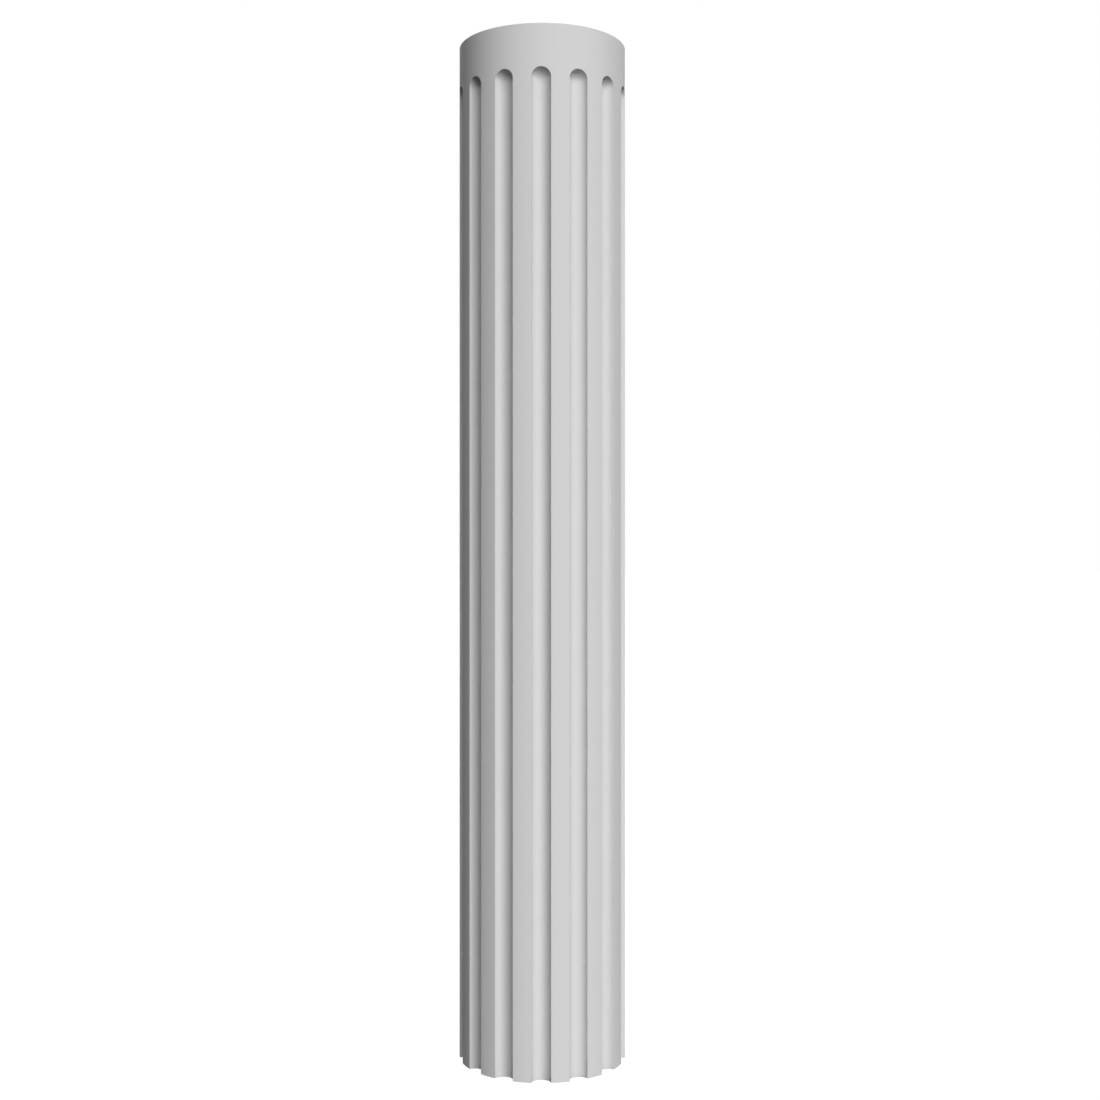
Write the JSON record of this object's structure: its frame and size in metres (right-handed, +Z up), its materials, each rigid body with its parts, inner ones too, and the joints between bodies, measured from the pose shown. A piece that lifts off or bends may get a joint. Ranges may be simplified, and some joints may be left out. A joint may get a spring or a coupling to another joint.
{
  "type": "doric column shaft",
  "caption": "Round fluted column shaft with a plain band above round flute heads; it stands on its flat foot and carries a capital or beam on its flat top.",
  "frame": {"origin": "centre of the flat foot, on the shaft's axis", "axes": "+Z up along the shaft's axis; -Y through the middle of a flute"},
  "size_m": [0.329, 0.329, 2],
  "materials": {
    "stone": "smooth matt cast stone, light neutral grey"
  },
  "bodies": {
    "root": {"shaft": "stone"}
  },
  "joints": []
}
